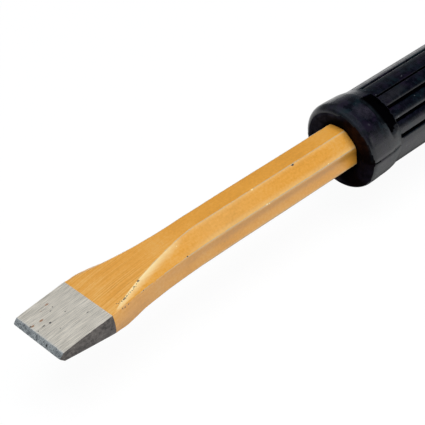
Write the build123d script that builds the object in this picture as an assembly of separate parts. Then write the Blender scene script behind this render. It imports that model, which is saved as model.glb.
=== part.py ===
from build123d import *
import math
import os

# Flat cold chisel: a forged octagonal bar pushed through a moulded hand guard.
# X runs along the tool from the cutting edge to the head, Z is square to the blade's flat faces.
# The origin is the middle of the cutting edge. All sizes are in millimetres.

# Bar
bar_flats = 16.0            # octagon, across flats
bar_length = 250.0
flat_width = bar_flats * math.tan(math.radians(22.5))

# Blade: a ground wedge that opens up to the width of the octagon's own side flat
blade_width = 23.2
edge_land = 0.1             # the cutting edge is not a perfect knife
honed_length = 1.5          # short steep bevel behind the edge
honed_thickness = 2.95
ground_length = 19.7        # bare faces, edge to end of paint
blade_root = flat_width

# Flare: each size eases from the blade to the octagon as (1 - t) to its own power
flare_length = 40.0
thickness_ease = 1.4
width_ease = 1.5
face_ease = 1.8
flare_steps = (0.0, 0.1, 0.22, 0.38, 0.56, 0.76, 1.0)
corner_break = 0.15         # forged corner left where the chamfer faces run out

# Head
head_length = 18.0          # tapered end
head_flats = 14.6
head_chamfer = 1.6

# Guard, from front to back
bore_clearance = 0.05       # each side, guard on octagon
dish_depth = 0.9            # front face falls back to the bar
collar_radius = 15.5
collar_round = 3.0          # front edge
collar_length = 11.9
collar_drop = 0.3           # barrel shape, front to back
shoulder_length = 3.6       # slope from collar to grip
grip_radius = 14.45
grip_length = 62.0
guard_turn = 1.0            # degrees the moulding sits turned on the octagon

# Ribs: grooves between flat-topped ribs on the upper side of the grip
groove_width = 1.4
groove_floor = 12.9         # radius
groove_count = 4            # each side of the middle rib
middle_rib_angle = 15.2     # degrees, middle of the rib field to the first groove
rib_angle = 21.4            # degrees, groove to groove
groove_inset = 0.9          # grooves start this far behind the rib ends
slot_floor = 12.6           # slot between collar and ribs, radius at the top
slot_reach = 62.0           # degrees from the top, where the slot runs out
slot_length = 3.4

# Shield
shield_radius = 29.0
shield_thickness = 9.5      # at the rim
shield_front_round = 3.0
shield_back_round = 4.5
flare_radius = 9.0          # hollow between grip and shield
dome_height = 6.0
boss_radius = 12.5          # flat top round the bar
head_exposed = 22.5         # bar that stands out behind the guard

# Places along the bar, counted back from the head
guard_back = bar_length - head_exposed
shield_back = guard_back - dome_height
shield_front = shield_back - shield_thickness
grip_end = shield_front - flare_radius
grip_start = grip_end - grip_length
collar_end = grip_start - shoulder_length
guard_front = collar_end - collar_length


def octagon_points(x, half_face, half_height, half_width, half_side):
    """The eight corners of a bar section, given its flat faces and its sides."""
    upper = [(half_width, half_side), (half_face, half_height),
             (-half_face, half_height), (-half_width, half_side)]
    lower = [(-y, -z) for y, z in upper]
    return [(x, y, z) for y, z in upper + lower]


def bar_section(x, flats):
    """A regular octagon across the bar."""
    half = flats / 2
    side = half * math.tan(math.radians(22.5))
    return make_face(Polyline(*octagon_points(x, side, half, half, side), close=True))


def flare_section(t):
    """The bar's section a share t of the way from the blade to the octagon."""
    side = flat_width / 2
    ease = 1 - t
    half_height = bar_flats / 2 - (bar_flats - blade_root) / 2 * ease ** thickness_ease
    half_width = bar_flats / 2 + (blade_width - bar_flats) / 2 * ease ** width_ease
    half_face = side + (blade_width / 2 - corner_break - side) * ease ** face_ease
    half_side = side - corner_break * ease
    x = ground_length + t * flare_length
    corners = octagon_points(x, half_face, half_height, half_width, half_side)
    return make_face(Polyline(*corners, close=True))


def make_blade():
    """The ground wedge with its honed edge, side on, as wide as the blade."""
    upper = [(0, edge_land / 2), (honed_length, honed_thickness / 2), (ground_length, blade_root / 2)]
    lower = [(x, -z) for x, z in reversed(upper)]
    side = make_face(Polyline(*upper, *lower, close=True))
    return extrude(Plane.XZ * side, blade_width / 2, both=True)


def make_bar():
    """Blade, flare, octagonal shank and tapered head, forged from one bar."""
    flare_end = ground_length + flare_length
    head_start = bar_length - head_length
    flare = loft([flare_section(t) for t in flare_steps])
    shank = loft([bar_section(flare_end, bar_flats), bar_section(head_start, bar_flats)], ruled=True)
    taper_end = bar_length - head_chamfer
    taper = loft([bar_section(head_start, bar_flats), bar_section(taper_end, head_flats)], ruled=True)
    face_flats = head_flats - 2 * head_chamfer
    nose = loft([bar_section(taper_end, head_flats), bar_section(bar_length, face_flats)], ruled=True)
    return make_blade() + flare + shank + taper + nose


def guard_outline():
    """Half section of the guard: distance along the bar against radius."""
    dish = guard_front + dish_depth
    collar_start = guard_front + collar_round
    collar_back = collar_radius - collar_drop
    hollow_end = grip_radius + flare_radius
    rim_front = shield_front + shield_front_round
    rim_back = shield_back - shield_back_round
    lines = Polyline((dish, 0), (dish, bar_flats / 2), (guard_front, collar_radius - collar_round))
    lines += RadiusArc((guard_front, collar_radius - collar_round),
                       (collar_start, collar_radius), collar_round)
    lines += TangentArc((collar_start, collar_radius), (collar_end, collar_back), tangent=(1, 0))
    lines += Polyline((collar_end, collar_back), (grip_start, grip_radius), (grip_end, grip_radius))
    lines += RadiusArc((grip_end, grip_radius), (shield_front, hollow_end), -flare_radius)
    lines += Line((shield_front, hollow_end), (shield_front, shield_radius - shield_front_round))
    lines += RadiusArc((shield_front, shield_radius - shield_front_round),
                       (rim_front, shield_radius), shield_front_round)
    lines += Line((rim_front, shield_radius), (rim_back, shield_radius))
    lines += RadiusArc((rim_back, shield_radius),
                       (shield_back, shield_radius - shield_back_round), shield_back_round)
    lines += Spline((shield_back, shield_radius - shield_back_round), (guard_back, boss_radius),
                    tangents=((1, -3), (0, -1)))
    lines += Polyline((guard_back, boss_radius), (guard_back, 0), (dish, 0))
    return make_face(lines)


def groove(angle):
    """One groove between two ribs, cut in from outside at an angle from the Y axis."""
    start = grip_start + groove_inset
    length = grip_end - start
    depth = collar_radius - groove_floor
    cutter = Box(length, depth, groove_width, align=(Align.MIN, Align.MIN, Align.CENTER))
    return Rot(angle, 0, 0) * Pos(start, groove_floor, 0) * cutter


def front_slot():
    """The slot between collar and ribs: deepest on top, run out towards the sides."""
    reach = math.cos(math.radians(slot_reach))
    drop = (grip_radius - slot_floor) / (1 - reach)
    section = Circle(2 * collar_radius) - Pos(0, -drop) * Circle(slot_floor + drop)
    return extrude(Plane.YZ.offset(grip_start - slot_length) * section, slot_length)


def make_guard():
    """The moulded sleeve with its collar, ribbed grip and shield, bored for the octagon."""
    body = revolve(guard_outline(), Axis.X)
    angles = [middle_rib_angle + rib_angle * n for n in range(groove_count)]
    cutters = [groove(90 + side * angle) for angle in angles for side in (-1, 1)]
    for cutter in cutters + [front_slot()]:
        body -= cutter
    body = Rot(guard_turn, 0, 0) * body
    bore_flats = bar_flats + 2 * bore_clearance
    bore = loft([bar_section(guard_front, bore_flats), bar_section(guard_back, bore_flats)], ruled=True)
    return body - bore


os.makedirs("parts", exist_ok=True)
parts = {"chisel_bar": make_bar(), "hand_guard": make_guard()}
for name, shape in parts.items():
    print(name, shape.is_valid, len(shape.solids()), round(shape.volume, 1), shape.bounding_box())
    export_step(shape, f"parts/{name}.step")
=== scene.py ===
import bpy
import bmesh
import math
from mathutils import Euler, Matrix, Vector, noise
from mathutils.bvhtree import BVHTree


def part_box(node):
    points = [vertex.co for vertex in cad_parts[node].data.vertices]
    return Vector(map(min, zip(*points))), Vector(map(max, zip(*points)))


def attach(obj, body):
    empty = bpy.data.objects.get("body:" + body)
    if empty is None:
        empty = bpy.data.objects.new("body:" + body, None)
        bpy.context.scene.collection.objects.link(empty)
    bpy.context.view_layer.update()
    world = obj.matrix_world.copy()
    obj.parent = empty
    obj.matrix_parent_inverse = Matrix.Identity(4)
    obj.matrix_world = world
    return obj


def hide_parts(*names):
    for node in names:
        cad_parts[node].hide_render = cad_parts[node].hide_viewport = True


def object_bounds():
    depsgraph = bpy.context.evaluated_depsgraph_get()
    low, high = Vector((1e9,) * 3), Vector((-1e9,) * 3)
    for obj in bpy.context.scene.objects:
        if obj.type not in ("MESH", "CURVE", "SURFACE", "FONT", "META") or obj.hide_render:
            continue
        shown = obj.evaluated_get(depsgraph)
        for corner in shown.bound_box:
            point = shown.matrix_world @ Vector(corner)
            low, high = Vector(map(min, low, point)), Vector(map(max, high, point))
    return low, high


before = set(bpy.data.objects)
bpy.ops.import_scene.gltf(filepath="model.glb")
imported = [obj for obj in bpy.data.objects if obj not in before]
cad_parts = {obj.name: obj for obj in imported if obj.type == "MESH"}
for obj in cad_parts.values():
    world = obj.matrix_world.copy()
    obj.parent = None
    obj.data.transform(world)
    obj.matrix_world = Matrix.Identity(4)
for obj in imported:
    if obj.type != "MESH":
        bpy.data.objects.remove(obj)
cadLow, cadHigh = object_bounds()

mm = 0.001
scene = bpy.context.scene
print("frame loaded:", sorted(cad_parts))


# camera and lamps

view = {
    "place": (-0.122410, -0.254093, 0.238730),
    "turn": (0.934048, 0.116987, -0.733592),
    "lens": 107.151,
}

studio = {
    "lampAim": (0.08, 0.0, 0.0),
    "lampDistance": 1.3,
    # watts, direction, width and height of each softbox
    "keySoftbox": (15.1, (-0.04, -0.31, 0.95), (1.1, 0.9)),
    "sideSoftbox": (0.85, (0.38, -0.89, 0.25), (0.7, 0.4)),
    "skyLow": (0.365, 0.388, 0.410, 1.0),    # round the horizon
    "skyHigh": (0.014, 0.014, 0.018, 1.0),
    "skyReach": 0.58,                        # height at which the horizon's glow ends
    "overhead": (0.32, 0.375, 0.435, 1.0),   # soft panel, from and to along X and in height
    "overheadFade": (0.62, 0.28),
    "overheadRise": (0.45, 0.75),
    "floorSize": 3.0,                        # half the side, metres
    "floorColour": (0.62, 0.62, 0.62, 1.0),
    "floorWhite": 0.90,                      # share of plain white in the floor as seen
    "whiteLevel": 1.055,
    "mirroredLevel": 1.08,                   # how pale shiny pieces show it, and how dark under the tool
    "mirroredShade": 0.0,
    "shadeMiddle": 0.012,                    # metres along Y, and half widths of the dark and the fading band
    "shadeDark": 0.013,
    "shadeEnd": 0.042,
}


def areaLamp(name):
    watts, direction, size = studio[name]
    lamp = bpy.data.lights.new(name, "AREA")
    lamp.energy = watts
    lamp.shape = "RECTANGLE"
    lamp.size, lamp.size_y = size
    holder = bpy.data.objects.new(name, lamp)
    holder.visible_glossy = name != "keySoftbox"       # the overhead panel stands in for it in reflections
    scene.collection.objects.link(holder)
    aim = Vector(direction).normalized()
    holder.location = Vector(studio["lampAim"]) + aim * studio["lampDistance"]
    holder.rotation_euler = aim.to_track_quat("Z", "Y").to_euler()


cameraData = bpy.data.cameras.new("viewCamera")
cameraData.lens = view["lens"]
cameraData.sensor_width = 36.0
cameraData.clip_start = 0.01
camera = bpy.data.objects.new("viewCamera", cameraData)
camera.location = view["place"]
camera.rotation_euler = Euler(view["turn"], "XYZ")
scene.collection.objects.link(camera)
scene.camera = camera

for name in ("keySoftbox", "sideSoftbox"):
    areaLamp(name)
scene.view_settings.view_transform = "Standard"
print("camera and lamps placed")


# node helpers

def setSockets(tree, node, sockets):
    for socket, value in sockets.items():
        if isinstance(value, bpy.types.NodeSocket):
            tree.links.new(value, node.inputs[socket])
        else:
            node.inputs[socket].default_value = value


def addNode(tree, kind, sockets=None, **settings):
    made = tree.nodes.new(kind)
    for name, value in settings.items():
        setattr(made, name, value)
    setSockets(tree, made, sockets or {})
    return made


def maths(tree, operation, first, second=0.0, clamp=False):
    sockets = {0: first, 1: second}
    return addNode(tree, "ShaderNodeMath", sockets, operation=operation, use_clamp=clamp).outputs[0]


def product(tree, first, *others):
    for other in others:
        first = maths(tree, "MULTIPLY", first, other)
    return first


def largest(tree, first, *others):
    for other in others:
        first = maths(tree, "MAXIMUM", first, other)
    return first


def weighted(tree, *parts):
    # the sum of the values, each times its weight
    total = None
    for value, weight in parts:
        part = value if weight == 1.0 else product(tree, value, weight)
        total = part if total is None else maths(tree, "ADD", total, part)
    return total


def offMiddle(tree, value):
    return maths(tree, "SUBTRACT", value, 0.5)


def vectorMaths(tree, operation, first, second=(0.0, 0.0, 0.0), output="Vector"):
    sockets = {0: first, 1: second}
    return addNode(tree, "ShaderNodeVectorMath", sockets, operation=operation).outputs[output]


def splitVector(tree, vector):
    return addNode(tree, "ShaderNodeSeparateXYZ", {0: vector}).outputs


def joinVector(tree, *parts):
    return addNode(tree, "ShaderNodeCombineXYZ", dict(enumerate(parts))).outputs[0]


def attribute(tree, name):
    return addNode(tree, "ShaderNodeAttribute", attribute_name=name).outputs["Fac"]


def mixColour(tree, factor, first, second):
    return addNode(tree, "ShaderNodeMix", {0: factor, 6: first, 7: second}, data_type="RGBA").outputs[2]


def layered(tree, colour, *coats):
    # each coat is a mask and a colour, laid over those before it
    for mask, coat in coats:
        colour = mixColour(tree, mask, colour, coat)
    return colour


def spread(tree, value, low, high, toLow=0.0, toHigh=1.0):
    sockets = {"Value": value, "From Min": low, "From Max": high, "To Min": toLow, "To Max": toHigh}
    return addNode(tree, "ShaderNodeMapRange", sockets, clamp=True).outputs[0]


def fineNoise(tree, vector, scale, detail=3.0, rough=0.5):
    sockets = {"Vector": vector, "Scale": scale, "Detail": detail, "Roughness": rough}
    return addNode(tree, "ShaderNodeTexNoise", sockets).outputs[0]


def newGroup(name, sockets, output):
    # the group, what it is given and its one result
    group = bpy.data.node_groups.new(name, "ShaderNodeTree")
    for label, kind, value in sockets:
        socket = group.interface.new_socket(name=label, in_out="INPUT", socket_type="NodeSocket" + kind)
        if value is not None:
            socket.default_value = value
    group.interface.new_socket(name=output, in_out="OUTPUT", socket_type="NodeSocketFloat")
    given = group.nodes.new("NodeGroupInput").outputs
    result = group.nodes.new("NodeGroupOutput").inputs[output]
    return group, given, result


def useGroup(tree, group, sockets):
    return addNode(tree, "ShaderNodeGroup", sockets, node_tree=group).outputs[0]


def clearedTree(owner):
    owner.use_nodes = True
    owner.node_tree.nodes.clear()
    return owner.node_tree


def newMaterial(name):
    material = bpy.data.materials.new(name)
    tree = clearedTree(material)
    shader = addNode(tree, "ShaderNodeBsdfPrincipled")
    addNode(tree, "ShaderNodeOutputMaterial", {0: shader.outputs[0]})
    coords = addNode(tree, "ShaderNodeTexCoord").outputs["Object"]
    return material, tree, shader, coords


def addBump(tree, shader, height, strength, distance):
    sockets = {"Height": height, "Strength": strength, "Distance": distance * mm}
    tree.links.new(addNode(tree, "ShaderNodeBump", sockets).outputs[0], shader.inputs["Normal"])


# shared effects

# long thin lines, as a belt or brush leaves them
brushLines, given, result = newGroup("brushLines", [
    ("Vector", "Vector", None), ("Along", "Float", 60.0), ("Across", "Float", 3000.0), ("Turn", "Float", 0.0),
    ("Detail", "Float", 3.0)], "Lines")
turned = addNode(brushLines, "ShaderNodeVectorRotate", {"Vector": given["Vector"], "Angle": given["Turn"]},
                 rotation_type="Z_AXIS").outputs[0]
scales = joinVector(brushLines, given["Along"], given["Across"], given["Across"])
stretched = vectorMaths(brushLines, "MULTIPLY", turned, scales)
brushLines.links.new(fineNoise(brushLines, stretched, 1.0, given["Detail"], 0.65), result)

# paint or skin rubbed off along an edge, broken up by noise
wornEdge, given, result = newGroup("wornEdge", [
    ("Vector", "Vector", None), ("Edge", "Float", 0.0), ("Grain", "Float", 900.0), ("Amount", "Float", 0.5)],
    "Mask")
breakUp = offMiddle(wornEdge, fineNoise(wornEdge, given["Vector"], given["Grain"], 4.0, 0.6))
level = weighted(wornEdge, (given["Edge"], 1.0), (given["Amount"], 1.0), (breakUp, 2.2))
wornEdge.links.new(spread(wornEdge, level, 1.15, 1.45), result)

markInputs = [("Vector", "Vector", None), ("Centre", "Vector", None), ("Radius", "Float", 0.001),
              ("Long", "Float", 1.0)]


def reachFrom(tree, given):
    # distance from the mark's centre, shortened along the tool
    offset = vectorMaths(tree, "SUBTRACT", given["Vector"], given["Centre"])
    squeeze = joinVector(tree, maths(tree, "DIVIDE", 1.0, given["Long"]), 1.0, 1.0)
    return vectorMaths(tree, "LENGTH", vectorMaths(tree, "MULTIPLY", offset, squeeze), output="Value")


# one small spot with a ragged rim
spotMark, given, result = newGroup("spotMark", markInputs, "Mask")
wobble = spread(spotMark, fineNoise(spotMark, given["Vector"], 4200.0, 1.0), 0.3, 0.7, 0.55, 1.5)
nearness = maths(spotMark, "DIVIDE", reachFrom(spotMark, given), product(spotMark, given["Radius"], wobble))
spotMark.links.new(spread(spotMark, nearness, 0.75, 1.1, 1.0, 0.0), result)

# a soft cloudy patch
softPatch, given, result = newGroup("softPatch", markInputs, "Mask")
cloudy = spread(softPatch, fineNoise(softPatch, given["Vector"], 500.0, 3.0, 0.6), 0.3, 0.7, 0.7, 1.3)
nearness = maths(softPatch, "DIVIDE", product(softPatch, reachFrom(softPatch, given), cloudy), given["Radius"])
softPatch.links.new(spread(softPatch, nearness, 0.35, 1.15, 1.0, 0.0), result)

# scattered specks of dust or grit
specks, given, result = newGroup("specks", [
    ("Vector", "Vector", None), ("Scale", "Float", 900.0), ("Share", "Float", 0.08), ("Size", "Float", 0.25)],
    "Mask")
cells = addNode(specks, "ShaderNodeTexVoronoi", {"Vector": given["Vector"], "Scale": given["Scale"]}).outputs
pick = addNode(specks, "ShaderNodeSeparateColor", {0: cells["Color"]}).outputs[0]
chosen = maths(specks, "LESS_THAN", pick, given["Share"])
inside = maths(specks, "LESS_THAN", cells["Distance"], given["Size"])
specks.links.new(product(specks, chosen, inside), result)


def brushed(tree, vector, along, across, turn=0.0, detail=3.0):
    sockets = {"Vector": vector, "Along": along, "Across": across, "Turn": turn, "Detail": detail}
    return useGroup(tree, brushLines, sockets)


def worn(tree, coords, edge, grain, amount):
    return useGroup(tree, wornEdge, {"Vector": coords, "Edge": edge, "Grain": grain, "Amount": amount})


def markAt(tree, group, coords, surface, place, radius, length):
    # centred on the point of the surface nearest to the place given
    centre = surface.find_nearest(place)[0]
    return useGroup(tree, group, {"Vector": coords, "Centre": centre, "Radius": radius * mm, "Long": length})


def spotsOf(tree, coords, spots, surface):
    return largest(tree, *[markAt(tree, spotMark, coords, surface, Vector(spot[:3]) * mm, *spot[3:])
                           for spot in spots])


print("shared effects ready")


# finishes of the bar

lacquer = {
    "gold": (0.830, 0.364, 0.043, 1.0),
    "deepGold": (0.630, 0.270, 0.034, 1.0),
    "paleGold": (0.880, 0.500, 0.140, 1.0),
    "cream": (1.000, 0.790, 0.400, 1.0),
    "edgeWear": (0.600, 0.480, 0.300, 1.0),
    "bare": (0.060, 0.055, 0.050, 1.0),
    "roughness": 0.34,
    "wornFrom": (0.034, 0.055, 0.25, 0.58),    # wear of the edges, from and to along the bar in metres
    # x, y, z, radius in mm, and how many times longer than wide
    "chips": [
        (33.3, -7.39, 5.21, 0.30, 1.3), (31.1, -8.15, 4.78, 0.20, 1.5), (30.5, -8.53, 4.52, 0.16, 1.2),
        (29.0, -8.81, 4.42, 0.15, 1.5), (26.4, -9.47, 4.15, 0.28, 1.4), (25.9, -9.55, 4.13, 0.22, 1.2),
        (23.85, -9.55, 3.98, 0.17, 1.1), (23.4, -9.18, 3.90, 0.15, 1.1), (23.7, -11.09, 3.10, 0.26, 0.8),
        (24.6, -10.98, 2.95, 0.26, 0.8), (26.1, -10.8, 3.0, 0.17, 1.4), (32.9, -9.92, 3.26, 0.16, 1.4),
        (51.8, -8.19, 3.41, 0.20, 1.2), (101.7, -3.59, 7.72, 0.30, 1.8), (32.2, -7.80, 5.0, 0.15, 1.2),
        (31.6, -8.30, 4.6, 0.12, 1.0), (29.8, -8.70, 4.45, 0.14, 1.3), (28.2, -9.05, 4.3, 0.13, 1.2),
        (27.4, -9.20, 4.25, 0.17, 1.5), (25.0, -9.70, 4.0, 0.16, 1.3), (24.4, -9.40, 3.95, 0.13, 1.0)],
    "brightMarks": [
        (50.7, -4.97, 6.41, 0.16, 1.3), (85.6, -7.99, 3.32, 0.26, 1.6), (86.6, -7.98, 3.1, 0.22, 1.4),
        (83.9, -3.34, 7.97, 0.25, 1.5), (30.2, -8.40, 4.6, 0.22, 1.5), (28.7, -8.90, 4.35, 0.20, 1.5),
        (27.0, -9.30, 4.2, 0.24, 1.5), (24.7, -9.85, 3.9, 0.22, 1.4), (113.6, -7.9, 3.6, 0.2, 1.4)],
    "ripples": [
        (42.5, -0.49, 6.56, 0.45, 0.5), (44.1, -1.58, 6.74, 0.40, 0.6), (46.8, -1.35, 7.04, 0.45, 0.5),
        (48.2, -1.55, 7.18, 0.50, 0.5), (49.4, -2.01, 7.29, 0.50, 0.6), (46.2, 1.95, 6.97, 0.35, 0.5),
        (54.2, 0.28, 7.70, 0.35, 0.8), (48.0, -0.01, 7.15, 0.40, 0.5)],
}

steel = {
    "ground": (0.960, 0.870, 0.740, 1.0),
    "groundDark": (0.345, 0.318, 0.265, 1.0),
    "honed": (0.720, 0.750, 0.740, 1.0),
    "honedDark": (0.085, 0.100, 0.115, 1.0),
    # a paler line along the honed bevel's back edge
    "paleEdge": (0.780, 0.770, 0.740, 1.0),
    "forged": (0.040, 0.035, 0.033, 1.0),
    "forgedPale": (0.215, 0.190, 0.172, 1.0),
    "pit": (0.045, 0.040, 0.036, 1.0),
    "rust": (0.360, 0.185, 0.095, 1.0),
    "pits": [
        (10.9, 5.97, 2.42, 0.20, 1.0), (9.5, 5.08, 2.28, 0.18, 1.6), (6.5, 1.24, 1.98, 0.32, 1.2),
        (4.4, 1.77, 1.76, 0.20, 3.0), (2.2, 1.36, 1.55, 0.18, 1.2), (7.0, -3.14, 2.03, 0.15, 1.2),
        (12.1, 1.23, 2.55, 0.15, 2.5), (1.8, 4.83, 1.50, 0.24, 1.5), (16.1, -4.6, 2.95, 0.15, 2.5)],
    "rustSpots": [
        (10.4, 8.20, 2.38, 0.34, 1.8), (5.4, 4.17, 1.87, 0.34, 2.2), (2.3, 4.4, 1.55, 0.34, 1.8),
        (7.6, 7.4, 2.09, 0.16, 1.2)],
    "honedNicks": [
        (0.66, -4.56, 0.68, 0.34, 1.0), (0.96, -2.95, 0.96, 0.22, 1.2), (1.05, 7.25, 1.05, 0.18, 1.2),
        (1.04, 0.66, 1.04, 0.18, 1.4)],
}


def alongFlat(tree, coords):
    # x, and the distance across the flat the point lies on
    return joinVector(tree, splitVector(tree, coords)["X"], attribute(tree, "acrossFlat"))


def goldLacquer(surface):
    material, tree, shader, coords = newMaterial("goldLacquer")
    along = splitVector(tree, coords)["X"]
    drawn = alongFlat(tree, coords)
    # brushed steel under the paint, strongest behind the ground faces and weaker on the forged sides
    lineTone = weighted(tree, (brushed(tree, drawn, along=22.0, across=2100.0, turn=0.01, detail=2.0), 0.6),
                        (brushed(tree, drawn, along=50.0, across=3900.0, detail=2.0), 0.4))
    normal = addNode(tree, "ShaderNodeNewGeometry").outputs["Normal"]
    sideways = maths(tree, "ABSOLUTE", splitVector(tree, normal)["Y"])
    lineTone = product(tree, offMiddle(tree, lineTone), spread(tree, along, 0.020, 0.050, 1.0, 0.12),
                       spread(tree, sideways, 0.75, 0.95, 1.0, 0.35))
    peel = fineNoise(tree, coords, 1150.0, 2.0, 0.6)
    unevenPeel = offMiddle(tree, peel)
    cloud = offMiddle(tree, fineNoise(tree, coords, 70.0, 2.0))
    tone = weighted(tree, (lineTone, 7.0), (unevenPeel, 1.1), (cloud, 1.1))
    # painted sheen: the cream layer stands in for highlights on the chamfers, strongest beside the top face's
    # edge at the flare
    sheenMask = weighted(tree, (attribute(tree, "paintedSheen"), 1.0), (unevenPeel, 0.12))
    wear = worn(tree, coords, attribute(tree, "edgeLine"), 330.0, spread(tree, along, *lacquer["wornFrom"]))
    chips = spotsOf(tree, coords, lacquer["chips"], surface)
    colour = layered(
        tree, lacquer["deepGold"],
        (spread(tree, tone, -0.9, 0.0), lacquer["gold"]),
        (spread(tree, tone, 0.0, 0.9), lacquer["paleGold"]),
        (spread(tree, sheenMask, 0.05, 0.95, 0.0, 0.95), lacquer["cream"]),
        (product(tree, wear, 0.85), lacquer["edgeWear"]),
        (spotsOf(tree, coords, lacquer["brightMarks"], surface), lacquer["cream"]),
        (chips, lacquer["bare"]))
    setSockets(tree, shader, {
        "Base Color": colour, "Metallic": 0.0, "IOR": 1.6, "Coat Weight": 0.5, "Coat Roughness": 0.25,
        "Roughness": spread(tree, peel, 0.2, 0.8, lacquer["roughness"] - 0.05, lacquer["roughness"] + 0.09)})
    ripples = spotsOf(tree, coords, lacquer["ripples"], surface)
    height = weighted(tree, (lineTone, 1.3), (peel, 0.55), (ripples, 1.8), (chips, -2.0))
    addBump(tree, shader, height, 0.4, 0.06)
    return material


def groundSteel(surface):
    material, tree, shader, coords = newMaterial("groundSteel")
    drawn = alongFlat(tree, coords)
    coarse = brushed(tree, drawn, along=75.0, across=3100.0, turn=0.035, detail=2.0)
    fine = brushed(tree, drawn, along=210.0, across=5600.0, turn=0.03, detail=3.0)
    cloud = offMiddle(tree, fineNoise(tree, coords, 170.0, 3.0, 0.6))
    tone = weighted(tree, (coarse, 0.42), (fine, 0.58), (cloud, 0.08))
    pits = spotsOf(tree, coords, steel["pits"], surface)
    rust = spotsOf(tree, coords, steel["rustSpots"], surface)
    marks = largest(tree, pits, rust)
    colour = layered(
        tree, steel["groundDark"],
        (spread(tree, tone, 0.336, 0.586), steel["ground"]),
        (product(tree, attribute(tree, "edgeLine"), 0.5), steel["paleEdge"]),
        (rust, steel["rust"]), (pits, steel["pit"]))
    setSockets(tree, shader, {
        "Base Color": colour, "Metallic": spread(tree, marks, 0.0, 1.0, 0.35, 0.0),
        "Roughness": spread(tree, tone, 0.3, 0.7, 0.50, 0.38)})
    addBump(tree, shader, weighted(tree, (tone, 1.0), (marks, -1.5)), 0.35, 0.05)
    return material


def honedSteel(surface):
    material, tree, shader, coords = newMaterial("honedSteel")
    lines = brushed(tree, coords, along=420.0, across=3300.0, turn=0.25)
    tone = weighted(tree, (lines, 0.7), (fineNoise(tree, coords, 520.0, 3.0, 0.6), 0.3))
    colour = layered(
        tree, steel["honedDark"],
        (spread(tree, tone, 0.38, 0.62), steel["honed"]),
        (product(tree, attribute(tree, "edgeLine"), 0.4), steel["paleEdge"]),
        (spotsOf(tree, coords, steel["honedNicks"], surface), steel["pit"]))
    setSockets(tree, shader, {
        "Base Color": colour, "Metallic": 0.6, "Roughness": spread(tree, tone, 0.3, 0.7, 0.5, 0.34)})
    addBump(tree, shader, tone, 0.3, 0.05)
    return material


def forgedSteel():
    material, tree, shader, coords = newMaterial("forgedSteel")
    scale = fineNoise(tree, coords, 900.0, 5.0, 0.7)
    streak = brushed(tree, coords, along=260.0, across=1100.0)
    patches = fineNoise(tree, coords, 260.0, 3.0, 0.6)
    tone = weighted(tree, (scale, 0.45), (streak, 0.25), (patches, 0.3))
    colour = mixColour(tree, spread(tree, tone, 0.40, 0.64), steel["forged"], steel["forgedPale"])
    setSockets(tree, shader, {
        "Base Color": colour, "Metallic": 0.3, "Roughness": spread(tree, tone, 0.3, 0.7, 0.62, 0.42)})
    addBump(tree, shader, tone, 0.7, 0.2)
    return material


def struckSteel():
    material, tree, shader, coords = newMaterial("struckSteel")
    dents = addNode(tree, "ShaderNodeTexVoronoi", {"Vector": coords, "Scale": 420.0}, feature="SMOOTH_F1")
    grain = fineNoise(tree, coords, 1600.0, 4.0, 0.6)
    tone = weighted(tree, (dents.outputs[0], 0.5), (grain, 0.5))
    colour = mixColour(tree, spread(tree, tone, 0.25, 0.75), steel["groundDark"], steel["ground"])
    setSockets(tree, shader, {
        "Base Color": colour, "Metallic": 0.6, "Roughness": spread(tree, grain, 0.3, 0.7, 0.5, 0.36)})
    addBump(tree, shader, tone, 0.6, 0.3)
    return material


# rings of vertices, drawn out along the tool

def newLayers(bm, *names):
    return [bm.verts.layers.float.new(name) for name in names]


def nextRing(bm, ring, points, layers, looks):
    # the values in looks go into the layers, point by point
    if ring is None:
        grown = bmesh.ops.create_circle(bm, segments=len(points), radius=1.0)["verts"]
    else:
        edges = [bm.edges.get((ring[n - 1], ring[n])) for n in range(len(ring))]
        made = set(bmesh.ops.extrude_edge_only(bm, edges=edges)["geom"])
        grown = [next(e.other_vert(v) for e in v.link_edges if e.other_vert(v) in made) for v in ring]
    for vertex, point, look in zip(grown, points, looks):
        vertex.co = point
        for layer, value in zip(layers, look):
            vertex[layer] = value
    return grown


def finishPiece(bm, name, materials, node):
    bmesh.ops.recalc_face_normals(bm, faces=bm.faces)
    mesh = bpy.data.meshes.new(name)
    for face in bm.faces:
        face.smooth = True
    bm.to_mesh(mesh)
    bm.free()
    for material in materials:
        mesh.materials.append(material)
    piece = bpy.data.objects.new(name, mesh)
    scene.collection.objects.link(piece)
    weights = piece.modifiers.new("faceWeights", "WEIGHTED_NORMAL")
    weights.keep_sharp = True
    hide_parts(node)
    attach(piece, "root")
    print(name, "faces:", len(mesh.polygons))


def clamped(value):
    return min(1.0, max(0.0, value))


def eased(table, x):
    # looks x up in pairs of place and amount, with a soft run from one to the next
    for (startX, start), (endX, end) in zip(table, table[1:]):
        if x <= endX:
            share = max(0.0, (x - startX) / (endX - startX))
            return start + (end - start) * share * share * (3 - 2 * share)
    return table[-1][1]


# the bar: ground blade, flare, octagonal shank and head, in mm

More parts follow.
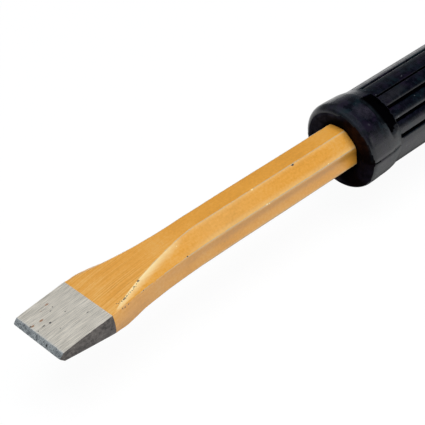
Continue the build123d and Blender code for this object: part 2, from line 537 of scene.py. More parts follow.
bar = {
    "flats": 16.0,
    "bladeWidth": 23.2,
    "edgeLand": 0.1,
    "edgeRound": 0.6,          # corners of the cutting edge, seen from above
    "honedLength": 1.5,
    "honedWander": 0.14,       # how far the hand-honed bevel's back line strays
    "honedGrain": 0.75,
    "honedThickness": 2.95,
    "groundLength": 19.7,
    "groundCrown": 0.10,
    "flareLength": 40.0,
    "easeThickness": 1.4,
    "easeWidth": 1.5,
    "easeFace": 1.8,
    "cornerBreak": 0.05,
    "forgingWave": 0.05,
    "forgingGrain": 0.09,
    "waveStart": 2.0,          # mm behind the ground faces
    # points on the flats, in their order after the corners
    "flatPoints": {"towardsFace": 9, "face": 19, "awayFromFace": 9, "side": 11},
    "faceBulge": 0.04,
    "hollowStart": 20.0,       # mm behind the ground faces, where the sides turn hollow
    "steelEdgeLine": 0.8,
    "strikingInset": 0.5,
    "headLength": 18.0,
    "headFlats": 14.6,
    "headChamfer": 1.6,
    # values along the bar, as pairs of x and amount
    "bow": ((0.0, -0.06), (20.0, -0.07), (24.5, 0.02), (29.0, 0.15), (34.0, 0.0), (43.0, -0.14),
            (52.0, -0.10), (62.0, 0.01), (78.0, 0.07), (96.0, 0.04), (108.0, 0.0)),
    "widthSwell": ((0.0, 0.06), (12.0, 0.12), (19.7, 0.24), (24.5, 0.44), (27.5, 0.36), (35.0, -0.06),
                   (43.0, -0.26), (50.0, -0.12), (58.0, 0.0)),
    "sideSwell": ((19.7, 0.0), (24.5, 0.36), (27.5, 0.28), (33.0, -0.05), (43.0, -0.12), (54.0, 0.0)),
    "sideBulge": ((2.0, 0.0), (19.7, 0.50), (30.0, 0.14), (46.0, -0.14), (62.0, -0.34), (90.0, -0.50),
                  (126.0, -0.50), (140.0, -0.10)),
    "chamferBulge": ((19.7, 0.0), (30.0, 0.10), (48.0, 0.08), (60.0, 0.03)),
    "edgeRadius": ((19.7, 0.05), (26.0, 0.25), (38.0, 0.58)),
    # painted highlight: the painted sheen on the chamfers beside the top face's edge, along x
    "paintedSheen": ((20.5, 0.0), (24.0, 0.80), (31.0, 0.90), (38.0, 1.0), (46.0, 0.75), (58.0, 0.0)),
    "sheenReach": 2.6,          # mm from the face's edge to where the painted sheen ends
    "farSheen": 0.25,           # share of the painted sheen on the far side, at +Y
    "stripPale": ((46.0, 0.0), (62.0, 0.22)),    # painted sheen in a narrow strip beside the face's edge, and its width
    "stripReach": 0.9,
    # painted sheen over the whole chamfer, along x
    "chamferPale": ((20.0, 0.16), (30.0, 0.06), (50.0, 0.08), (66.0, 0.15), (100.0, 0.07)),
    "edgePale": ((42.0, 0.0), (64.0, 0.30)),     # painted sheen at the side's edges, and how far it reaches
    "edgePaleReach": 1.5,
}

barEnd = cadHigh.x / mm
halfFlats = bar["flats"] / 2
halfSide = halfFlats * math.tan(math.radians(22.5))      # of a plain octagon


def bladeSizes(x):
    if x <= bar["honedLength"]:
        rise = (bar["honedThickness"] - bar["edgeLand"]) / 2 / bar["honedLength"]
        height = bar["edgeLand"] / 2 + rise * x
    else:
        share = (x - bar["honedLength"]) / (bar["groundLength"] - bar["honedLength"])
        height = bar["honedThickness"] / 2 + share * (halfSide - bar["honedThickness"] / 2)
        height += bar["groundCrown"] * 4 * share * (1 - share)
    width = bar["bladeWidth"] / 2 + eased(bar["widthSwell"], x)
    if x < bar["edgeRound"]:
        width -= bar["edgeRound"] - math.sqrt(bar["edgeRound"] ** 2 - (bar["edgeRound"] - x) ** 2)
    return height, width, width - bar["cornerBreak"], max(height - bar["cornerBreak"], height * 0.7)


def flareSizes(x):
    ease = 1 - (x - bar["groundLength"]) / bar["flareLength"]
    height = halfFlats - (halfFlats - halfSide) * ease ** bar["easeThickness"]
    width = halfFlats + (bar["bladeWidth"] / 2 - halfFlats) * ease ** bar["easeWidth"]
    width += eased(bar["widthSwell"], x)
    face = halfSide + (bar["bladeWidth"] / 2 - bar["cornerBreak"] - halfSide) * ease ** bar["easeFace"]
    face += eased(bar["widthSwell"], bar["groundLength"]) * ease ** 12
    side = halfSide - bar["cornerBreak"] * ease + eased(bar["sideSwell"], x)
    return height, width, face, min(side, height - bar["cornerBreak"] * ease)


def barSizes(x):
    # half height, half width, half face, half side
    if x <= bar["groundLength"]:
        return bladeSizes(x)
    if x <= bar["groundLength"] + bar["flareLength"]:
        return flareSizes(x)
    grow = 1.0
    headStart = barEnd - bar["headLength"]
    taperEnd = barEnd - bar["headChamfer"]
    if x > headStart:
        small = bar["headFlats"] / bar["flats"]
        grow = 1 - (1 - small) * min(1.0, (x - headStart) / (taperEnd - headStart))
    if x > taperEnd:
        grow -= (x - taperEnd) * 2 / bar["flats"]
    return halfFlats * grow, halfFlats * grow, halfSide * grow, halfSide * grow


def roundCorner(corner, before, after, radius):
    back, ahead = before - corner, after - corner
    turn = math.pi - back.angle(ahead)
    reach = min(radius * math.tan(turn / 2), 0.42 * back.length, 0.42 * ahead.length)
    start, end = corner + back.normalized() * reach, corner + ahead.normalized() * reach
    return [start * (1 - s) ** 2 + corner * 2 * s * (1 - s) + end * s ** 2 for s in (0, 0.3, 0.7, 1)]


def barRing(x):
    # points round the bar at x, each with its shares of edge wear and painted sheen and its place across the
    # flat
    height, width, face, side = barSizes(x)
    quarter = [Vector((width, side)), Vector((face, height)), Vector((-face, height)), Vector((-width, side))]
    corners = quarter + [-corner for corner in quarter]
    kinds = list(bar["flatPoints"]) * 2          # the flat after each corner
    radius = eased(bar["edgeRadius"], x)
    arcs = [roundCorner(corners[n], corners[n - 1], corners[(n + 1) % 8], radius) for n in range(8)]
    bulges = {"face": bar["faceBulge"], "side": eased(bar["sideBulge"], x)}
    painted = x > bar["groundLength"]
    waved = x > bar["groundLength"] + bar["waveStart"]
    hollow = x > bar["groundLength"] + bar["hollowStart"]
    honedLine = abs(x - bar["honedLength"]) < 0.01
    steelEdge = bar["steelEdgeLine"] * honedLine
    sheen = eased(bar["paintedSheen"], x)
    strip = eased(bar["stripPale"], x)
    atSideEdge = eased(bar["edgePale"], x)
    pale = eased(bar["chamferPale"], x) * painted
    atFaceEdge = max(sheen, pale + strip)
    points = []

    def add(y, z, edge, sheenShare, kind):
        at = Vector((x, y, z))
        across = z if kind == "side" else y
        if waved:
            wave = bar["forgingWave"] * noise.noise(at * bar["forgingGrain"])
            at += Vector((0.0, math.copysign(wave, y), math.copysign(wave, z)))
        if honedLine:
            at.x += bar["honedWander"] * noise.noise(Vector((y * bar["honedGrain"], z, 3.0)))
        at.y += eased(bar["bow"], x)
        points.append((at * mm, edge, sheenShare * (bar["farSheen"] if y > 0 else 1.0), across * mm))

    # painted sheen at a point on a flat: by the top face's edge, over the chamfer and by the side's edges
    def paleAt(point, start, end, kind, share):
        if kind == "face":
            return 0.0
        nearest = {"towardsFace": start, "awayFromFace": end, "side": start if share < 0.5 else end}[kind]
        bySide = atSideEdge * max(0.0, 1 - (point - nearest).length / bar["edgePaleReach"])
        if kind == "side":
            return 0.4 * bySide
        fromFace = (point - (end if kind == "towardsFace" else start)).length
        byFace = sheen * max(0.0, 1 - fromFace / bar["sheenReach"])
        return max(byFace, pale + bySide + strip * max(0.0, 1 - fromFace / bar["stripReach"]))

    for n, kind in enumerate(kinds):
        sheenAt = (atSideEdge,) * 4
        if kind == "face":
            sheenAt = (atFaceEdge, 0.6 * atFaceEdge, 0.0, 0.0)
        elif kind == "awayFromFace":
            sheenAt = (0.0, 0.0, 0.6 * atFaceEdge, atFaceEdge)
        for (y, z), edge, share in zip(arcs[n], (0.0, 1.0, 1.0, 0.0), sheenAt):
            add(y, z, edge if painted else steelEdge, share, kind)
        start, end = arcs[n][3], arcs[(n + 1) % 8][0]
        out = Vector(((end - start).y, -(end - start).x)).normalized()
        out = out if out.dot(start + end) > 0 else -out
        bulge = bulges.get(kind, eased(bar["chamferBulge"], x))
        steps = bar["flatPoints"][kind] + 1
        for step in range(1, steps):
            share = step / steps
            curve = 4 * share * (1 - share)
            if hollow and kind == "side":
                curve = (1 - math.cos(2 * math.pi * share)) / 2
            point = start.lerp(end, share) + out * bulge * curve
            add(point.x, point.y, steelEdge, paleAt(point, start, end, kind, share), kind)
    return points


def barStations():
    blade = [0, 0.08, 0.2, 0.4, 0.6, 1.0, bar["honedLength"], 2.2, 3.4, 5, 7.5, 10, 12.5, 15, 17.5, 19.3,
             bar["groundLength"]]
    flare = [bar["groundLength"] + bar["flareLength"] * (n / 30) ** 1.15 for n in range(1, 31)]
    shank = [60.5, 62, 64, 67] + [70 + 5 * n for n in range(32)]
    head = [barEnd - back for back in (18.8, 18.2, 17.6, 16.5, 12, 7, 3, 1.8, 1.6, 1.3, 0.7, 0.2, 0)]
    return blade + flare + shank + head


def barFinish(face):
    # its place in makeBar's list of finishes
    middle = face.calc_center_median() / mm
    if middle.x > barEnd - bar["headChamfer"]:
        return 4
    if middle.x > bar["groundLength"]:
        return 0
    if abs(face.normal.y) > 0.6:
        return 3
    return 2 if middle.x < bar["honedLength"] else 1


def makeBar():
    bm = bmesh.new()
    layers = newLayers(bm, "edgeLine", "paintedSheen", "acrossFlat")
    ring = None
    for x in barStations():
        points = barRing(x)
        ring = nextRing(bm, ring, [point[0] for point in points], layers, [point[1:] for point in points])
    bmesh.ops.holes_fill(bm, edges=[e for e in bm.edges if e.is_boundary], sides=0)
    head = max(bm.faces, key=lambda f: f.calc_center_median().x)
    bmesh.ops.inset_individual(bm, faces=[head], thickness=bar["strikingInset"] * mm, depth=0.0)
    bm.normal_update()
    for face in bm.faces:
        face.material_index = barFinish(face)
    surface = BVHTree.FromBMesh(bm)
    finishes = [goldLacquer(surface), groundSteel(surface), honedSteel(surface), forgedSteel(), struckSteel()]
    finishPiece(bm, "chiselBar", finishes, "chisel_bar")


makeBar()


# the hand guard: collar, ribbed grip and shield round the bar

rubber = {
    "black": (0.0010, 0.0012, 0.0042, 1.0),
    "teal": (0.0006, 0.0068, 0.0104, 1.0),
    "purple": (0.0070, 0.0034, 0.0126, 1.0),
    "dust": (0.097, 0.099, 0.110, 1.0),
    "roughness": 0.25,
    # painted shade: near-black for the grooves, slot, dish, bore and the rim's underside; also the seam's dark
    # line
    "shadeAndSeamBlack": (0.0004, 0.0003, 0.0006, 1.0),
    # painted reflections in the dish: the white floor in grey, the gold bar in brown
    "reflectedGrey": (0.0250, 0.0240, 0.0350, 1.0),
    "reflectedBrown": (0.0040, 0.0014, 0.0016, 1.0),
    # tone at the pale start of the painted shade before the slot
    "slope": (0.0110, 0.0150, 0.0190, 1.0),
    # painted reflections in the dish, from and to in mm: grey and brown by radius, brown also by Y, all on the
    # front only
    "dishFront": (2.0, 2.4),
    "greyReach": (12.9, 15.9),
    "brownReach": (9.3, 11.0),
    "brownSide": (-1.0, -7.0),
    # painted reflections near the rim, a brown one of the gold bar and a purple one: colour, degrees round the
    # dish, half widths of its core and its fade
    "dishReflections": [
        ((0.0190, 0.0062, 0.0025, 1.0), 138.0, 12.0, 32.0),
        ((0.0090, 0.0070, 0.0125, 1.0), 203.0, 10.0, 22.0)],
    "reflectionReach": (8.6, 11.0),
    # paler patches of the skin: x, degrees, radius in mm, length over width, colour
    "patches": [
        (132.3, 115.0, 3.4, 1.2, (0.0250, 0.0215, 0.0320, 1.0)),
        (147.0, 115.0, 2.4, 3.0, (0.0150, 0.0145, 0.0180, 1.0))],
    "dullRoughness": 0.70,
    "dustPale": 0.30,
    "paintedRimHighlight": 0.11,
    "wornPale": 0.08,
    # x, y, z, radius in mm, length over width
    # the five at the rib ends, x 141.9 to 143.4, are painted highlights; the rest are pale scuffs
    "scuffsAndGlints": [
        (156.1, 2.98, 14.14, 0.16, 2.0), (156.3, -2.16, 14.29, 0.18, 1.6), (133.0, -2.76, 15.05, 0.12, 1.5),
        (162.7, -3.89, 13.92, 0.15, 1.6), (154.0, -9.90, 10.52, 0.20, 0.7), (155.9, -10.83, 9.56, 0.14, 1.0),
        (136.7, -10.75, 10.75, 0.14, 1.2), (143.4, -11.87, 8.24, 0.24, 1.8), (142.8, -12.30, 7.60, 0.30, 0.8),
        (142.0, -7.71, 12.22, 0.12, 0.7), (141.9, -8.74, 11.50, 0.12, 0.7), (142.3, -3.30, 14.07, 0.12, 1.6)],
}

guard = {
    "turn": 1.0,               # degrees the moulding sits turned on the octagon
    "boreFlats": 16.1,
    "dishDepth": 0.9,
    "collarRadius": 15.5,
    "collarRound": 3.0,
    "shoulderLength": 3.6,
    "gripRadius": 14.45,
    "gripLength": 62.0,
    "grooveAngles": (14.6, 36.8, 58.6, 81.2),    # each side of the top
    "grooveWidths": (0.62, 1.0, 1.0, 1.0),       # shares of the full width
    "grooveSoft": (0.62, 1.0, 1.0, 0.6),         # shares of the shoulder's radius
    # the section stands out below and is a little flat above: mm, towards this angle
    "lowSide": 220.0,
    "lowFade": 8.0,            # mm before the grip's end, where it fades out
    "lowSwell": 0.26,
    "lowShift": 0.15,
    "lowShoulder": ((-3.5, 0.0), (-1.0, 0.10), (0.8, 0.24), (2.2, 0.30), (3.1, 0.05), (3.6, 0.0)),
    "grooveTop": 1.0,
    "grooveBottom": 0.9,
    "grooveFloor": 12.9,
    "grooveInset": 0.75,
    "shoulderRadius": 1.57,
    "shoulderLean": 50.0,      # degrees the rib's shoulder turns before its wall
    # the lower ribs lean: pairs of degrees from the top and mm of radius
    "ribLean": ((38.5, -0.28), (50.0, 0.16), (56.0, 0.16), (58.6, 0.0), (61.0, -0.22), (69.6, 0.16),
                (70.6, 0.16), (78.0, -0.14), (82.0, 0.0)),
    "slotFloor": 12.6,
    "slotReach": 60.5,
    "slopeLength": 2.2,        # mm of painted shade before the slot, paler towards the front
    "slopeEnd": (48.0, 54.0),  # degrees from the top, where it fades out
    "slopeDepth": 0.6,         # depth of the slot from which it is full
    "slotStart": (5.5, 12.0),  # degrees from the top to where the slot begins and where it is full
    "farSlotStart": (40.0, 47.0),
    "ribEndRound": 0.25,
    "ribEndShare": ((34.0, 0.15), (50.0, 1.0)),
    "ribStart": 0.35,
    "ribEndWander": 0.55,      # the ribs' ends are left ragged by the mould
    "wanderSpan": (0.3, 0.8),  # mm behind the start of the grip
    "wanderGrain": 0.21,
    "flareRadius": 9.0,
    "shieldRadius": 28.985,
    "shieldThickness": 9.5,
    "shieldFrontRound": 3.0,
    "shieldBackRound": 4.5,
    "domeHeight": 6.0,
    "bossRadius": 12.5,
    "seamAngles": (182.8, 0.4),
    "seamDepth": 0.55,
    "seamHalfWidth": 0.95,     # degrees
    "seamBlack": 4.6,          # mm from the front, and how black it is behind that
    "seamShade": 0.4,
    "seamStep": 0.10,          # the lower half of the moulding stands this much lower
    # painted shade on the rim's underside, near-black and matt: pairs of degrees round the rim and mm of width
    "shadedRim": ((92.0, 0.05), (104.0, 0.36), (120.0, 0.45), (135.0, 0.50), (152.0, 0.95), (165.0, 1.20),
                  (177.0, 1.55), (183.0, 1.90), (189.0, 1.40), (200.0, 1.40), (212.0, 1.70), (236.0, 1.2),
                  (256.0, 0.12)),
    "shadeFade": 0.7,
    "rimLine": (70.0, 178.0),  # a painted highlight, a paler line, in degrees round the rim; its tilt and half width
    "rimLineTilt": (50.0, 11.0),
    "shadeShare": 0.45,         # faces with more painted shade than this get the near-black matt finish
}

gripRadius = guard["gripRadius"]
guardTop = 90.0 + guard["turn"]      # middle of the rib field, in degrees

# places along the guard
front, back = (corner.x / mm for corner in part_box("hand_guard"))
shieldBack = back - guard["domeHeight"]
shieldFront = shieldBack - guard["shieldThickness"]
gripEnd = shieldFront - guard["flareRadius"]
gripStart = gripEnd - guard["gripLength"]
collarEnd = gripStart - guard["shoulderLength"]


def around(x, radius, degrees):
    turn = math.radians(degrees)
    return Vector((x, radius * math.cos(turn), radius * math.sin(turn))) * mm


def blotches(tree, coords):
    return fineNoise(tree, coords, 420.0, 4.0, 0.65)


def mouldedRubber(surface):
    material, tree, shader, coords = newMaterial("mouldedRubber")
    deep = attribute(tree, "paintedShadeAndSeam")
    blotch = blotches(tree, coords)
    cloud = spread(tree, fineNoise(tree, coords, 150.0, 3.0, 0.6), 0.42, 0.58)
    colour = mixColour(tree, cloud, rubber["teal"], rubber["purple"])
    colour = mixColour(tree, spread(tree, blotch, 0.42, 0.60), rubber["black"], colour)
    uneven = spread(tree, blotch, 0.35, 0.65, 0.55, 1.0)
    for x, degrees, radius, length, tint in rubber["patches"]:
        patch = markAt(tree, softPatch, coords, surface, around(x, gripRadius, degrees), radius, length)
        colour = mixColour(tree, product(tree, patch, uneven), colour, tint)
    dust = useGroup(tree, specks, {"Vector": coords, "Scale": 430.0, "Share": 0.05, "Size": 0.17})
    wear = worn(tree, coords, attribute(tree, "edgeLine"), 380.0, -0.05)
    pale = largest(tree, product(tree, dust, rubber["dustPale"]),
                   product(tree, attribute(tree, "slopePart"), rubber["paintedRimHighlight"]),
                   spotsOf(tree, coords, rubber["scuffsAndGlints"], surface),
                   product(tree, wear, rubber["wornPale"]))
    # the dust colour also paints the highlight line along the rim; the near-black paints shade over the
    # recesses, the rim's underside and the seam's line
    colour = layered(tree, colour, (pale, rubber["dust"]), (deep, rubber["shadeAndSeamBlack"]))
    rough = spread(tree, blotch, 0.3, 0.7, rubber["roughness"] - 0.06, rubber["roughness"] + 0.12)
    rough = maths(tree, "ADD", rough, product(tree, deep, 0.6), clamp=True)
    setSockets(tree, shader, {"Base Color": colour, "Metallic": 0.0, "IOR": 1.5, "Roughness": rough})
    skin = fineNoise(tree, coords, 1400.0, 3.0, 0.6)
    addBump(tree, shader, weighted(tree, (skin, 0.30), (blotch, 1.0)), 0.25, 0.14)
    return material


def mattShadedRubber():
    # the dish, the bore, the grooves and the slot: a matt skin in near-black as painted shade, with painted
    # reflections in the dish
    material, tree, shader, coords = newMaterial("mattShadedRubber")
    place = splitVector(tree, coords)
    blotch = blotches(tree, coords)
    patch = spread(tree, blotch, 0.38, 0.62, 0.3, 1.0)
    fromFront = [(front + reach) * mm for reach in rubber["dishFront"]]
    inDish = product(tree, patch, spread(tree, place["X"], *fromFront, 1.0, 0.0))
    section = joinVector(tree, 0.0, place["Y"], place["Z"])
    reach = vectorMaths(tree, "LENGTH", section, output="Value")

    def reached(value, name):
        return spread(tree, value, *[limit * mm for limit in rubber[name]])

    # painted reflections: grey of the floor towards the rim, brown of the gold bar
    lit = weighted(tree, (place["Y"], 0.5), (reach, 1.2))
    grey = product(tree, reached(lit, "greyReach"), inDish)
    brown = product(tree, reached(reach, "brownReach"), reached(place["Y"], "brownSide"), inDish)
    colour = layered(tree, rubber["shadeAndSeamBlack"], (grey, rubber["reflectedGrey"]), (brown, rubber["reflectedBrown"]))
    # painted reflections near the rim
    nearRim = product(tree, reached(reach, "reflectionReach"), inDish)
    for glow, degrees, core, fade in rubber["dishReflections"]:
        towards = around(0.0, gripRadius, degrees).normalized()
        along = vectorMaths(tree, "DOT_PRODUCT", section, towards, output="Value")
        limits = [math.cos(math.radians(limit)) for limit in (fade, core)]
        facing = spread(tree, maths(tree, "DIVIDE", along, reach), *limits)
        colour = mixColour(tree, product(tree, facing, nearRim), colour, glow)
    # the painted shade turns paler before the slot
    slope = product(tree, attribute(tree, "slopePart"), patch)
    colour = mixColour(tree, slope, colour, rubber["slope"])
    setSockets(tree, shader, {
        "Base Color": colour, "Metallic": 0.0, "IOR": 1.5, "Specular IOR Level": 0.015,
        "Roughness": spread(tree, blotch, 0.3, 0.7, rubber["dullRoughness"] - 0.08,
                            rubber["dullRoughness"] + 0.12)})
    addBump(tree, shader, blotch, 0.3, 0.12)
    return material


def guardColumns():
    # going round the guard: angle, radius on the grip, shares of the seam, a worn edge and a groove
    grooves = list(zip(guard["grooveAngles"], guard["grooveWidths"], guard["grooveSoft"]))
    centres = sorted((guardTop + side * angle, width, soft)
                     for angle, width, soft in grooves for side in (-1, 1))
    turning = math.radians(guard["shoulderLean"])
    leanStart, leanEnd = guard["ribLean"][0][0], guard["ribLean"][-1][0]
    columns = []

    def add(centre, radius=gripRadius, across=0.0, seam=0.0, edge=0.0, deep=0.0):
        angle = centre + math.degrees(math.asin(across / radius))
        offset = abs(angle - guardTop)
        lean = eased(guard["ribLean"], offset) if leanStart < offset < leanEnd and not deep else 0.0
        columns.append((angle, radius + lean, seam, edge, deep))

    def shoulder(centre, width, soft, side, steps):
        radius = guard["shoulderRadius"] * soft
        for step in steps:
            tilt = turning * (1 - step / 4)
            across = guard["grooveTop"] * width / 2 + radius * (math.sin(turning) - math.sin(tilt))
            drop = radius * (1 - math.cos(tilt))
            add(centre, gripRadius - drop, side * across, edge=1.0 if step == 0 else 0.0)

    for n, (centre, width, soft) in enumerate(centres):
        shoulder(centre, width, soft, -1, (4, 3, 2, 1, 0))
        for side in (-1, 1):
            add(centre, guard["grooveFloor"], side * guard["grooveBottom"] * width / 2, deep=1.0)
        shoulder(centre, width, soft, 1, (0, 1, 2, 3, 4))
        if n + 1 < len(centres):
            middle = (centre + centres[n + 1][0]) / 2
            wide = centres[n + 1][0] - centre > 25
            for step in ((-8, -5.5, -3, 3, 5.5, 8) if wide else (-2.2, -0.3, 0.7, 2.4)):
                add(middle + step)
    first, second = guard["seamAngles"]
    half, low = guard["seamHalfWidth"], -guard["seamStep"]
    for angle, seam in ((first - half, 0.0), (first, 1.0), (first + half, low)):
        add(angle, seam=seam)
    start, end = first + half, second + 360.0
    for step in range(1, 60):
        add(start + (end - half - start) * step / 60, seam=low)
    for angle, seam in ((end - half, low), (end, 1.0), (end + half, 0.0)):
        add(angle, seam=seam)
    return columns


def slotDepth(angle, radius):
    # the slot's floor is a flatter arc than the grip's; none of it crosses the middle rib
    reach = math.cos(math.radians(guard["slotReach"]))
    drop = (gripRadius - guard["slotFloor"]) / (1 - reach)
    offset = angle - guardTop
    lean = math.radians(offset)
    if math.cos(lean) < 0:
        return 0.0
    floor = -drop * math.cos(lean)
    floor += math.sqrt((guard["slotFloor"] + drop) ** 2 - (drop * math.sin(lean)) ** 2)
    start, full = guard["slotStart" if offset > 0 else "farSlotStart"]
    return max(0.0, radius - floor) * clamped((abs(offset) - start) / (full - start))


def boreRadius(angle, flats):
    return flats / 2 / math.cos(math.radians((angle + 22.5) % 45.0 - 22.5))


def lowSideStand(angle, radius, fromCollarEnd):
    # how far the section departs from a circle, in mm, growing from nothing at the bore
    facing = math.cos(math.radians(angle - guard["lowSide"]))
    below = max(0.0, facing)
    bore = guard["boreFlats"] / 2
    size = clamped((radius - bore) / (gripRadius - bore))
    stand = size * (guard["lowShift"] * facing + guard["lowSwell"] * below)
    return stand + eased(guard["lowShoulder"], fromCollarEnd) * below ** 2


def guardProfile():
    # rings from the bore over the collar, grip and shield and back to the bore: x, radius, how far the ribs
    # show, how far the slot is cut, how much the rib ends are rounded, and the kind of ring
    bore = guard["boreFlats"]
    dish = front + guard["dishDepth"]
    collarTop = guard["collarRadius"]
    rows = []

    def row(x, radius, ribs=0.0, slot=0.0, lip=0.0, kind="plain"):
        rows.append((x, radius, ribs, slot, lip, kind))

    def roundRow(x, radius, size, degrees, kind="plain"):
        tilt = math.radians(degrees)
        row(x + size * (1 - math.cos(tilt)), radius + size * math.sin(tilt), kind=kind)

    for step, wider in ((6, 0), (0.5, 0), (0.12, 0.06), (0, 0.35)):
        row(dish + step, bore + wider, kind="bore")
    rim = collarTop - guard["collarRound"]
    for share in (0.16, 0.45, 0.75, 0.86, 0.90, 0.95):
        lift = 0.06 if share > 0.88 else 0.0       # fine lip inside the rim
        row(dish - guard["dishDepth"] * share - lift, bore / 2 + (rim - bore / 2) * share, kind="dish")
    for n in range(13):
        roundRow(front, rim, guard["collarRound"], 7.5 * n, kind="seam")
    for x, drop in ((front + 4.5, 0.0), (front + 6.5, 0.06), (front + 8.5, 0.17), (collarEnd - 2.4, 0.21),
                    (collarEnd - 2.0, 0.24)):
        row(x, collarTop - drop, kind="seam")
    for step, drop, slot in ((-1.4, 0.28, 0.0), (-0.95, 0.33, 0.03), (-0.55, 0.38, 0.12), (-0.2, 0.44, 0.30),
                             (0.1, 0.50, 0.56), (0.35, 0.55, 0.85), (0.5, 0.58, 1.0), (1.4, 0.74, 1.0),
                             (2.4, 0.92, 1.0)):
        row(collarEnd + step, collarTop - drop, slot=slot, kind="seam")
    row(gripStart - 0.35, gripRadius + 0.02, slot=1.0, kind="seam")
    for step, slot, lip, ribs in ((-0.02, 1.0, 0.0, 0.0), (0, 0.0, 1.0, 0.0), (0.12, 0.0, 0.45, 0.0),
                                  (0.3, 0.0, 0.0, 0.05)):
        row(gripStart + guard["ribStart"] + step, gripRadius, ribs=ribs, slot=slot, lip=lip)
    row(gripStart + guard["grooveInset"], gripRadius, ribs=1.0)
    for n in range(12):
        row(gripStart + 2.0 + (guard["gripLength"] - 4.0) * n / 12, gripRadius, ribs=1.0)
    for step, ribs in ((-1.2, 1.0), (-0.4, 0.75), (0, 0.2)):
        row(gripEnd + step, gripRadius, ribs=ribs)
    for n in range(1, 11):
        tilt = math.radians(9 * n)
        row(gripEnd + guard["flareRadius"] * math.sin(tilt),
            gripRadius + guard["flareRadius"] * (1 - math.cos(tilt)))
    edge = guard["shieldRadius"] - guard["shieldFrontRound"]
    row(shieldFront, edge - 1.0)
    for n in range(9):
        roundRow(shieldFront, edge, guard["shieldFrontRound"], 11.25 * n)
    edge = guard["shieldRadius"] - guard["shieldBackRound"]
    for n in range(10):
        tilt = math.radians(10 * n)
        row(shieldBack - guard["shieldBackRound"] * (1 - math.sin(tilt)),
            edge + guard["shieldBackRound"] * math.cos(tilt))
    for step, radius in ((0.16, 22.3), (0.34, 19.7), (0.53, 17.3), (0.72, 15.3), (0.87, 13.9), (0.96, 13.1)):
        row(shieldBack + guard["domeHeight"] * step, radius)
    for step, inside in ((0.06, 0.0), (0, 0.5), (0, 2.5)):
        row(back - step, guard["bossRadius"] - inside)
    for step, wider in ((0, 0.5), (0.15, 0.1), (0.5, 0), (6, 0)):
        row(back - step, bore + wider, kind="bore")
    return rows


def rimLook(x, angle):
    # on the rounded front edge: a painted highlight line, and painted shade under it
    tilt = math.degrees(math.acos(1 - (x - front) / guard["collarRound"]))
    start, end = guard["rimLine"]
    middle, wide = guard["rimLineTilt"]
    line = max(0.0, 1 - abs(tilt - middle) / wide) if start < angle < end else 0.0
    past = x - front - eased(guard["shadedRim"], angle % 360)
    return line, clamped(0.5 - past / guard["shadeFade"])


def slopeLook(x, angle, radius):
    # before the slot: how pale the painted shade is, and how much of it there is
    start, end = guard["slopeEnd"]
    fade = clamped((end - (angle - guardTop)) / (end - start))
    pale = clamped((collarEnd - x) / guard["slopeLength"]) ** 1.5
    return pale, fade * min(1.0, slotDepth(angle, radius) / guard["slopeDepth"])


def makeGuard():
    bm = bmesh.new()
    # one layer holds the painted shade and the seam's dark line, the other the painted highlight on the rim
    # and the pale start of the shade before the slot
    layers = newLayers(bm, "edgeLine", "paintedShadeAndSeam", "slopePart")
    columns = guardColumns()
    corners = {min(range(len(columns)), key=lambda n: abs((columns[n][0] - c + 180) % 360 - 180)): c
               for c in [22.5 + 45 * k for k in range(8)]}
    ring = None
    for x, radius, ribs, slot, lip, kind in guardProfile():
        places, looks = [], []
        stand = 1.0 - clamped((x - gripEnd + guard["lowFade"]) / guard["lowFade"])      # the shield is round
        ragged = guard["wanderSpan"][0] < x - gripStart < guard["wanderSpan"][1]
        for n, (angle, grip, seam, edge, groove) in enumerate(columns):
            r = radius + ribs * (grip - gripRadius)
            # painted shade: the groove floors, bore, dish, slot and the rim's underside are given the
            # near-black
            deep, slope = ribs * groove, 0.0
            offset = angle - guardTop
            if kind == "bore":
                angle = corners.get(n, angle)
                r = boreRadius(angle, radius)
                deep = 1.0
            elif kind == "dish":
                deep = 1.0
            elif slot or lip:
                depth = slotDepth(angle, radius)
                rounded = guard["ribEndRound"] * eased(guard["ribEndShare"], abs(offset))
                r = min(r, radius - slot * depth - lip * rounded * min(1.0, depth / 1.2))
                deep = max(deep, slot * min(1.0, depth / 0.7), min(1.0, depth / 0.5) if lip == 1.0 else 0.0)
            if kind == "seam":
                r -= seam * guard["seamDepth"]
                if x < front + guard["collarRound"]:
                    slope, shaded = rimLook(x, angle)
                    deep = max(deep, shaded)
                elif offset > 0 and collarEnd - x < guard["slopeLength"]:
                    slope, reached = slopeLook(x, angle, radius)
                    deep = max(deep, reached)
                if seam > 0.5:
                    deep = 1.0 if x < front + guard["seamBlack"] else guard["seamShade"]
            if kind != "bore":
                r += stand * lowSideStand(angle, radius, x - collarEnd)
            wander = 0.0
            if ragged:
                wander = guard["ribEndWander"] * noise.noise(Vector((guard["wanderGrain"] * angle, 0.0, 7.0)))
            places.append(around(x + wander, r, angle))
            looks.append((edge * ribs, deep, slope))
        ring = nextRing(bm, ring, places, layers, looks)
    bmesh.ops.bridge_loops(bm, edges=[e for e in bm.edges if e.is_boundary])
    for face in bm.faces:
        mean = sum(vertex[layers[1]] for vertex in face.verts) / len(face.verts)
        face.material_index = 1 if mean > guard["shadeShare"] else 0
    finishes = [mouldedRubber(BVHTree.FromBMesh(bm)), mattShadedRubber()]
    finishPiece(bm, "handGuard", finishes, "hand_guard")


makeGuard()


# floor and sky

white = (1.0, 1.0, 1.0, 1.0)


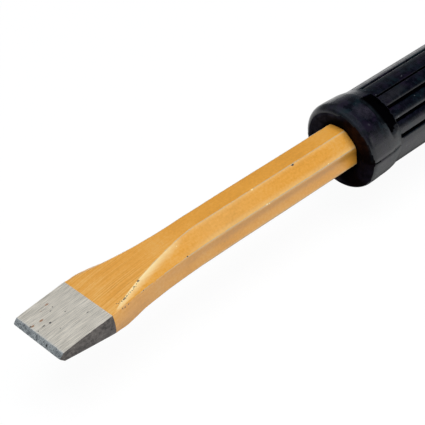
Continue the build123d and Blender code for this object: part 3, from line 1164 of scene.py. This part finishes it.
def makeFloor():
    bm = bmesh.new()
    bmesh.ops.create_grid(bm, x_segments=1, y_segments=1, size=studio["floorSize"])
    bmesh.ops.translate(bm, verts=bm.verts, vec=(0.1, 0.0, cadLow.z))
    mesh = bpy.data.meshes.new("paleFloor")
    bm.to_mesh(mesh)
    bm.free()
    floor = bpy.data.objects.new("paleFloor", mesh)
    scene.collection.objects.link(floor)
    material = bpy.data.materials.new("palePaper")
    tree = clearedTree(material)
    paper = addNode(tree, "ShaderNodeBsdfDiffuse", {"Color": studio["floorColour"]})
    path = addNode(tree, "ShaderNodeLightPath").outputs
    mirrored = path["Is Glossy Ray"]
    seen = largest(tree, path["Is Camera Ray"], path["Is Transmission Ray"])
    share = largest(tree, product(tree, seen, studio["floorWhite"]), mirrored)
    # shiny pieces mirror a plain tone that darkens under the tool
    across = splitVector(tree, addNode(tree, "ShaderNodeTexCoord").outputs["Object"])["Y"]
    away = maths(tree, "ABSOLUTE", maths(tree, "SUBTRACT", across, studio["shadeMiddle"]))
    shade = spread(tree, away, studio["shadeDark"], studio["shadeEnd"], studio["mirroredShade"],
                   studio["mirroredLevel"])
    level = weighted(tree, (seen, studio["whiteLevel"]), (mirrored, shade))
    light = addNode(tree, "ShaderNodeEmission", {"Color": white, "Strength": level})
    both = addNode(tree, "ShaderNodeMixShader", {0: share, 1: paper.outputs[0], 2: light.outputs[0]})
    addNode(tree, "ShaderNodeOutputMaterial", {0: both.outputs[0]})
    mesh.materials.append(material)


def makeSky():
    world = bpy.data.worlds.new("studioSky")
    scene.world = world
    tree = clearedTree(world)
    towards = splitVector(tree, addNode(tree, "ShaderNodeTexCoord").outputs["Generated"])
    glow = spread(tree, towards["Z"], 0.0, studio["skyReach"])
    soft = mixColour(tree, glow, studio["skyLow"], studio["skyHigh"])
    panel = product(tree, spread(tree, towards["X"], *studio["overheadFade"]),
                    spread(tree, towards["Z"], *studio["overheadRise"]))
    soft = mixColour(tree, panel, soft, studio["overhead"])
    colour = mixColour(tree, addNode(tree, "ShaderNodeLightPath").outputs["Is Camera Ray"], soft, white)
    light = addNode(tree, "ShaderNodeBackground", {"Color": colour, "Strength": 1.0})
    addNode(tree, "ShaderNodeOutputWorld", {0: light.outputs[0]})


makeFloor()
makeSky()
print("floor and sky ready")
